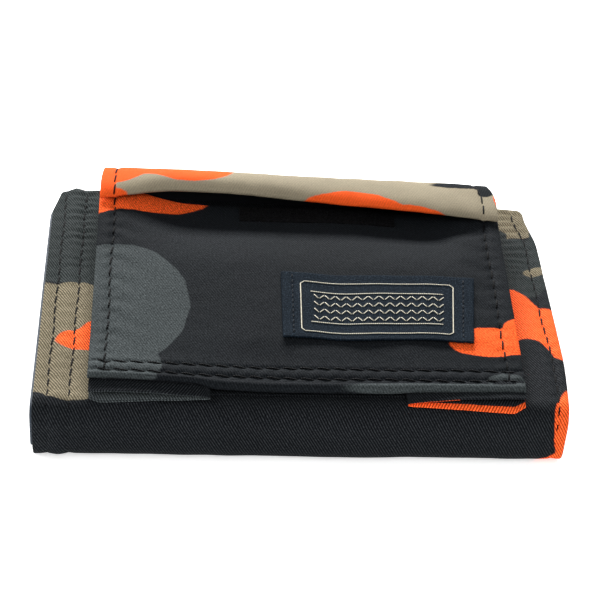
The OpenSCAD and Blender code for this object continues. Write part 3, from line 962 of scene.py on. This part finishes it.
def tube(name, points, uv, material):
    """Closed tube from rings that go round along the first axis."""
    number = np.arange(points[..., 0].size).reshape(points.shape[:2])
    faces = np.stack([number[:-1, :-1], number[1:, :-1], number[1:, 1:], number[:-1, 1:]], -1)
    ends = [number[:-1, 0].tolist(), number[:-1, -1][::-1].tolist()]
    faces = faces.reshape(-1, 4).tolist() + ends
    obj = mesh_object(name, points.reshape(-1, 3), faces, uv.reshape(-1, 2), [material])
    face_outward(obj, join=1e-7)
    return obj


hem = tube("coin_front_hem_roll", pocket_place(X, hem_v, hem_w), np.stack([X, -radius * A], -1), POCKET)
put(hem, "coin_front", ["coin_front_hem"])

coin_lining = front_cloth(
    "coin_front_lining_cloth",
    np.linspace(COIN_X0 + 1, COIN_X1 - 1, 60),
    np.linspace(3.5, 66, 50),
    lambda x, v: pocket_place(x, v, 0.3),
    0.25,
    POCKETING,
)
put(coin_lining, "coin_front", ["coin_front_lining"])

base = flat_cloth(
    "coin_base_cloth", COIN_X0, COIN_X1, -35.5, 38.5, FLOOR_Z, 0.4, BASE, leaning=True, step=1.2,
    relief=lambda x, y: 0.05 * ripple(x, y, 0.2, 9.0),
)
put(base, "front", ["coin_base_panel"])

# stitching of the pocket's front: two rows over the hem, one down each side
x = np.linspace(COIN_X0 + 1.2, COIN_X1 - 1.2, 240)
rows = [front_row(front_face(x, at + 0.12 * np.sin(x * 0.23 + at), 0.12)) for at in HEM_ROWS]
v = np.linspace(1.6, 65.5, 200)
for at in (COIN_ROW_L, COIN_ROW_R):
    rows.append(front_row(front_face(at + 0.15 * np.sin(v * 0.21 + at), v, 0.12)))
piece = stitches("stitch_rows_coin_pocket", rows, THREAD, slant=0.12)
put(piece, "coin_front", ["stitching_coin_pocket"])

# woven label, held by its two ends and bowed between them
LABEL_X = (LABEL_LO[0], LABEL_HI[0])
LABEL_V = (15.5, 37.5)


def label_place(x, v, w):
    """Point on the label: it waves, and its bottom edge sags a little in the middle."""
    across = x - LABEL_X[0]
    wave = 0.22 * np.sin(across * 2 * math.pi / 15.5) + 0.3 * ripple(x, v, 0.09, 51.0)
    sway = 0.35 * np.sin(across * 2 * math.pi / 26 + 0.6) * (1 - (v - LABEL_V[0]) / 60)
    lift = 0.3 * bump(v, LABEL_V[0], 2.5) + 0.2 * bump(v, LABEL_V[1], 2.5)
    skew = across / 42 * ((v - 26.5) / 11 - 0.1)
    out = W_TOP + 0.62 + pocket_relief(x, v) * 0.7 + 0.5 * wave + lift + w
    return pocket_place(x + skew, v + sway, out)


def label_face(x, v):
    """The label's ribbed face, thicker where its two ends are turned under."""
    turned = 0.16 * (smooth((LABEL_X[0] + 2.4 - x) / 0.4) + smooth((x - LABEL_X[1] + 2.4) / 0.4))
    return label_place(x, v, turned + 0.05 * np.sin(v * 2 * math.pi / 0.9))


x, v = np.linspace(*LABEL_X, 96), np.linspace(*LABEL_V, 52)
label = front_cloth("woven_label_cloth", x, v, label_face, 0.5, LABEL)
put(label, "coin_front", ["woven_label"])


def embroidery(name, lines, material, width=0.24):
    """Raised threads that lie along the given lines of points on the label."""
    sides = 6
    angles = (np.arange(sides) / sides * 2 * math.pi)[None, :, None]
    up = np.array(FRONT_UP)
    rings, uvs = [], []
    for points in lines:
        side = unit(np.cross(unit(np.gradient(points, axis=0)), up))[:, None]
        rings.append(points[:, None] + (side * np.cos(angles) + up * np.sin(angles) * 0.6) * width / 2)
        uvs.append(along_and_round(length_along(points), sides))
    return threads(name, rings, uvs, material)


def on_label(path, gap=0.3):
    """Points along a path given as corners (x, v) on the label."""
    out = []
    for (x0, v0), (x1, v1) in zip(path[:-1], path[1:]):
        count = max(2, int(math.hypot(x1 - x0, v1 - v0) / gap))
        t = np.linspace(0, 1, count, endpoint=False)
        out.append(np.stack([x0 + (x1 - x0) * t, v0 + (v1 - v0) * t], -1))
    out.append(np.array([path[-1]]))
    flat = np.concatenate(out)
    return label_place(flat[:, 0], flat[:, 1], 0.16)


# a frame with cut corners
x0, x1, v0, v1 = 1.0, 34.6, 17.2, 34.4
snip = 0.8
corners = [(x0 + snip, v0), (x1 - snip, v0), (x1, v0 + snip), (x1, v1 - snip)]
corners += [(x1 - snip, v1), (x0 + snip, v1), (x0, v1 - snip), (x0, v0 + snip)]
lines = [on_label(corners + corners[:1])]
# plain herringbone between two rules fills the frame: it means nothing and reads as nothing
for v in (20.6, 31.0):
    lines.append(on_label([(x0 + 2.2, v), (x1 - 2.2, v)]))
for k in range(24):
    x = x0 + 3.4 + k * 1.2
    for v in (22.2, 24.6, 27.0, 29.4):
        tip = 0.55 if k % 2 else -0.55
        lines.append(on_label([(x - 0.45, v - tip), (x + 0.45, v + tip)]))
put(embroidery("label_pattern", lines, CREAM), "coin_front")

v = np.linspace(LABEL_V[0] + 0.6, LABEL_V[1] - 0.6, 60)
rows = [front_row(label_place(x, v, 0.2)) for x in (LABEL_X[0] + 2.2, LABEL_X[1] - 2.2)]
piece = stitches("label_stitches", rows, GREY_THREAD, pitch=1.7, length=1.35, width=0.26)
put(piece, "coin_front")

lo, hi = box("coin_loop_tape")
x, v = np.linspace(lo[0], hi[0], 70), np.linspace(61.5, 66.5, 14)


def loops_face(x, v):
    """The tape's looped face."""
    return front_face(x, v, 0.45 + 0.1 * ripple(x, v, 2.1, 5.0))


piece = front_cloth("coin_loop_tape_piece", x, v, loops_face, 0.5, LOOPS)
put(piece, "coin_front", ["coin_loop_tape"])

# ---------------------------------------------------------------- gussets: one pleat a side, folded inward


def gusset(
    name, outer, inner, material, nodes=(), y_range=(-37.3, 30.6), inset=0.0, reach_to=1.0, thick=0.34
):
    """A pleat in the pocket's side: its lower leaf lies on the base, its upper leaf under the front.

    outer and inner are the x of its seam and of its fold, and inset draws its two leaves together.
    """
    T, Y = np.meshgrid(np.linspace(0, 1, 46), np.linspace(*y_range, 70))
    v = (Y - SEAM[1]) / math.cos(FRONT_TILT)
    near = smooth((-33.5 - Y) / 4)
    # the lower leaf slides out past the upper one and lies on the bend of the spine
    past, end_lift = (1.1, 1.0) if outer < 0 else (1.35, 0.8)
    Y = Y - past * near * smooth(T / 0.06 + 0.15) * (1 - smooth(T / 0.85))
    over = np.clip(CREASE_Y - Y, 0, NEAR_R - 0.5)
    fall = NEAR_R - np.sqrt(NEAR_R**2 - over**2)
    low = FLOOR_Z + 0.32 - near * (FLOOR_Z - TOP_Z - 0.25) - fall + inset
    high = SEAM[2] + np.maximum(v, -0.6) * math.tan(FRONT_TILT) - 0.02 + end_lift * smooth((18 - v) / 18)
    high = np.maximum(high, FLOOR_Z + 1.1)
    high = high - mouth_sag(inner, v) * np.sin(math.pi * T) ** 0.5 - inset
    turn = 0.44
    along = np.where(T < turn, T / turn, np.where(T > 1 - turn, (1 - T) / turn, 1))
    reach = smooth(along) * 0.15 + along * 0.85
    bend = np.clip((T - turn) / (1 - 2 * turn), 0, 1)
    x = outer + (inner - outer) * reach_to * (reach * 0.96 + 0.04 * np.sin(bend * math.pi))
    inward = np.sign(inner - outer)
    x = x + 0.5 * ripple(x, Y, 0.08, 61.0) * along * inward
    z = low + (high - low) * (smooth(T) * 0.75 + T * 0.25) + lean(x, Y)
    z = z + near * (0.25 * np.sin(T * 9.0) + 0.2 * ripple(x, Y, 0.15, 65.0))
    uv = np.stack([T * 52, Y], -1)
    piece = cloth(name, np.stack([x, Y, z], -1), uv, thick, material, BASE, flip=-inward)
    rises = ("front", "coin_front", (0, 0, FLOOR_Z + 0.25), (0, 0, FLOOR_Z + 2.6))
    put(piece, rises, nodes)
    return piece


TURNED_IN = {"y_range": (-37.1, -26.5), "inset": 0.42, "reach_to": 0.93, "thick": 0.42}
lo, hi = box("coin_gusset_left")
gusset_left = gusset("coin_gusset_left_cloth", lo[0] + 0.2, hi[0], GUSSET_L, ["coin_gusset_left"])
hem_left = gusset("coin_gusset_left_hem", lo[0] + 0.3, hi[0], GUSSET_L, **TURNED_IN)
lo, hi = box("coin_gusset_right")
hem_right = gusset("coin_gusset_right_hem", hi[0] - 0.3, lo[0], BASE, **TURNED_IN)
nodes, y_range = ["coin_gusset_right"], (-38.1, 30.6)
gusset_right = gusset("coin_gusset_right_cloth", hi[0] - 0.2, lo[0], GUSSET_R, nodes, y_range, thick=0.44)

seam_end = flat_cloth(
    "coin_gusset_tab", -41, -29.5, -38.2, -34.5, FLOOR_Z - 0.02, 0.5, BASE, leaning=True, step=0.5,
    radius=1.2,
    relief=lambda x, y: -0.45 * smooth((-36.2 - y) / 2.2) + 0.06 * ripple(x, y, 0.5, 15.0),
)
put(seam_end, "front")

# ---------------------------------------------------------------- flap, with the back wall it grows out of

# the free edge bows: it is drawn back left of the middle and hangs lower at the right
FLAP_EDGE_X = [-45, -39, -30, -16, 0, 15, 30, 48]
FLAP_EDGE_BACK = [1.3, 1.8, 4.0, 4.2, 2.9, 1.6, 0.4, -1.2]


def flap_profile(t, x):
    """Outer face of the flap: up the back wall, over the fold, and out to the curled free edge."""
    bow = np.linspace(FLAP_EDGE_X[0], FLAP_EDGE_X[-1], 24)
    edge_y = WALL_Y - FLAP_L + np.interp(x, bow, np.interp(bow, FLAP_EDGE_X, FLAP_EDGE_BACK))
    ends = smooth((-37 - x) / 8) + 0.8 * smooth((x - 38) / 9)
    rise = 1.5 * bump(x, -14, 30) + 0.5 * bump(x, 22, 16) + 0.2 * ripple(x, 0, 0.05, 71.0) - 0.1 * ends
    top = FLAP_HINGE[2] + 0.75 - 0.25 * ends
    third = (WALL_Y - edge_y) / 3
    controls = [
        (WALL_Y + 0.25, FLOOR_Z - 1.0),
        (WALL_Y + 0.4, 17.2),
        (WALL_Y + 0.35, 20.6),
        (WALL_Y - 0.9, top + 0.15),
        (WALL_Y - third, top + 0.55 + rise * 0.6),
        (WALL_Y - 2 * third, top + 0.45 + rise),
        (edge_y + 1.6, top - 0.1 + rise),
        (edge_y, top - 0.95 + rise * 0.8),
        (edge_y + 0.3, top - 1.6 + rise * 0.7),
    ]
    ys, zs = (np.stack(np.broadcast_arrays(*values)) for values in zip(*controls))
    # a cubic B-spline over these control points keeps the bends soft
    last = len(controls) - 1
    at = t * last
    before = np.clip(at.astype(int), 0, last - 1)
    r = at - before
    weights = [(1 - r) ** 3, 3 * r**3 - 6 * r**2 + 4, -3 * r**3 + 3 * r**2 + 3 * r + 1, r**3]
    column = np.arange(len(x))[None, :]

    def curve(values):
        return sum(w * values[np.clip(before + k - 1, 0, last), column] for k, w in enumerate(weights)) / 6

    return curve(ys), curve(zs)


def turned_up(normal):
    """Normals with those that point down turned over."""
    return normal * np.where(normal[..., 2:3] < -0.01, -1.0, 1.0)


def flap_surface(n_t, n_x, x0, x1):
    """Grid of points on the flap's outer face, its (u, v), and the row where it folds over the wall."""
    x = np.linspace(x0, x1, n_x)
    T, X = np.meshgrid(np.linspace(0, 1, n_t), x, indexing="ij")
    y, z = flap_profile(T, x)
    step = np.hypot(np.diff(y, axis=0, prepend=y[:1]), np.diff(z, axis=0, prepend=z[:1]))
    length = np.cumsum(step, axis=0)
    rows = bump(X, COIN_ROW_L, 0.55) + bump(X, COIN_ROW_R, 0.55)
    nudge = -0.25 * rows + 0.1 * ripple(X, length, 0.22, 81.0)
    # the top corners are drawn in a little towards the fold
    pinch = bump(y, WALL_Y, 5) * smooth((z - FLOOR_Z - 2) / 5)
    narrow = 0.6 * smooth((-36 - X) / 9) - 1.5 * smooth((X - 36) / 12)
    points = np.stack([X + pinch * narrow, y, z + lean(X, y)], -1)
    points = points + turned_up(surface_normals(points)[0]) * nudge[..., None]
    fold_row = int(np.argmax(points[:, n_x // 2, 2] > FLAP_HINGE[2] + 0.6))
    return points, np.stack([X, length - length[fold_row]], -1), fold_row


flap_points, flap_uv, fold_row = flap_surface(74, 190, COIN_X0 + 0.1, COIN_X1 - 0.1)
flap_normal = surface_normals(flap_points)[0]
# the flap's inside is dark pocket cloth: partly its own colour, partly painted shade for the black shade
# under the flap
flap = cloth("coin_flap_cloth", flap_points, flap_uv, 0.8, FLAP, POCKETING)
put(flap, FLAP_FOLD, ["coin_flap", "coin_back_wall"])


def under_flap(name, rows, x0, x1, depth, thick, material, grain=0.0):
    """A layer below the flap's outer cloth, between two rows of its grid and two places across it."""
    columns = np.flatnonzero((flap_points[0, :, 0] >= x0) & (flap_points[0, :, 0] <= x1))
    pick = np.ix_(range(*rows), columns)
    points, uv = flap_points[pick], flap_uv[pick]
    deep = depth + grain * ripple(uv[..., 0], uv[..., 1], 2.1, 5.0)
    return cloth(name, points - flap_normal[pick] * deep[..., None], uv, thick, material)


end_row = len(flap_points)
# its lining is dark pocket cloth as well, partly painted shade under the flap
span = (fold_row + 1, end_row - 12)
under = under_flap("coin_flap_lining_cloth", span, COIN_X0 + 1, COIN_X1 - 1, 0.84, 0.25, POCKETING)
put(under, FLAP_FOLD, ["coin_flap_lining"])
lo, hi = box("coin_hook_tape")
span = (fold_row + 12, end_row - 14)
hooks = under_flap("coin_hook_tape_piece", span, lo[0], hi[0], 1.12, 0.5, HOOKS, 0.1)
put(hooks, FLAP_FOLD, ["coin_hook_tape"])

rows = []
for x in (COIN_ROW_L, COIN_ROW_R):
    column = int(np.argmin(np.abs(flap_points[0, :, 0] - x)))
    facing = turned_up(flap_normal[fold_row:, column])
    rows.append((flap_points[fold_row:, column] + facing * 0.06, facing))
put(stitches("stitch_rows_flap", rows, THREAD), FLAP_FOLD, ["stitching_flap"])

# ---------------------------------------------------------------- the shell, lining and divider cloths, looked up by name

for kind, below in (("shell", "lining"), ("lining", "divider"), ("divider", "lining")):
    for part, ((s0, s1), fold) in PARTS.items():
        piece = bpy.data.objects[f"{kind}_cloth_{part}"]

# ---------------------------------------------------------------- floor, light and camera


def lamp(name, place, size, power):
    """A soft box that looks at the wallet."""
    data = bpy.data.lights.new(name, "AREA")
    data.shape = "RECTANGLE"
    data.size, data.size_y = size
    data.energy = power
    obj = bpy.data.objects.new(name, data)
    obj.location = place
    obj.rotation_euler = (Vector((0, 0, 0.01)) - Vector(place)).to_track_quat("-Z", "Y").to_euler()
    bpy.context.scene.collection.objects.link(obj)


lamp("key_light", (-0.1, 0.98, 0.56), (0.8, 0.28), 34)
lamp("fill_left", (-0.8, -0.1, 0.5), (0.5, 0.5), 2.5)
lamp("fill_front", (0.1, -0.7, 0.75), (0.9, 0.4), 4.3)

world = bpy.data.worlds.new("studio")
world.use_nodes = True
background = world.node_tree.nodes["Background"]
background.inputs["Color"].default_value = (1, 1, 1, 1)
background.inputs["Strength"].default_value = 0.34
bpy.context.scene.world = world
bpy.context.scene.view_settings.view_transform = "Standard"

FLOOR_SIZE = 4
FLOOR_DEPTH = -0.0005  # clear of the wallet's underside
floor = bpy.data.meshes.new("floor")
corners = [(a * FLOOR_SIZE, b * FLOOR_SIZE, FLOOR_DEPTH) for a, b in ((-1, -1), (1, -1), (1, 1), (-1, 1))]
floor.from_pydata(corners, [], [(0, 1, 2, 3)])
floor_obj = bpy.data.objects.new("floor", floor)
bpy.context.scene.collection.objects.link(floor_obj)
paper = Nodes("paper", on_cad=True)
paper_colour = paper.mix(paper.noise(paper.uv, 0.02, 3), (0.93, 0.93, 0.93, 1), (0.96, 0.96, 0.96, 1))
floor.materials.append(
    paper.surface(paper_colour, 0.9, Emission_Color=(1, 1, 1, 1), Emission_Strength=0.58)
)

CAMERA_AZ, CAMERA_EL, CAMERA_ROLL = math.radians(-3.5), math.radians(35.4), math.radians(2.9)
CAMERA_DISTANCE = 0.472
level = math.cos(CAMERA_EL)
ahead = Vector((-math.sin(CAMERA_AZ) * level, math.cos(CAMERA_AZ) * level, -math.sin(CAMERA_EL)))
right = ahead.cross(Vector((0, 0, 1))).normalized()
upward = right.cross(ahead)
right, upward = (
    right * math.cos(CAMERA_ROLL) + upward * math.sin(CAMERA_ROLL),
    upward * math.cos(CAMERA_ROLL) - right * math.sin(CAMERA_ROLL),
)
aim = Vector((0, 0, 0.010)) + right * 0.00144 + upward * 0.0029
camera = bpy.data.cameras.new("camera")
camera.lens = 125.6
camera.sensor_width = 36
camera.clip_start = 0.01
camera_obj = bpy.data.objects.new("camera", camera)
camera_obj.matrix_world = Matrix((right, upward, -ahead)).transposed().to_4x4()
camera_obj.location = aim - ahead * CAMERA_DISTANCE
bpy.context.scene.collection.objects.link(camera_obj)
bpy.context.scene.camera = camera_obj
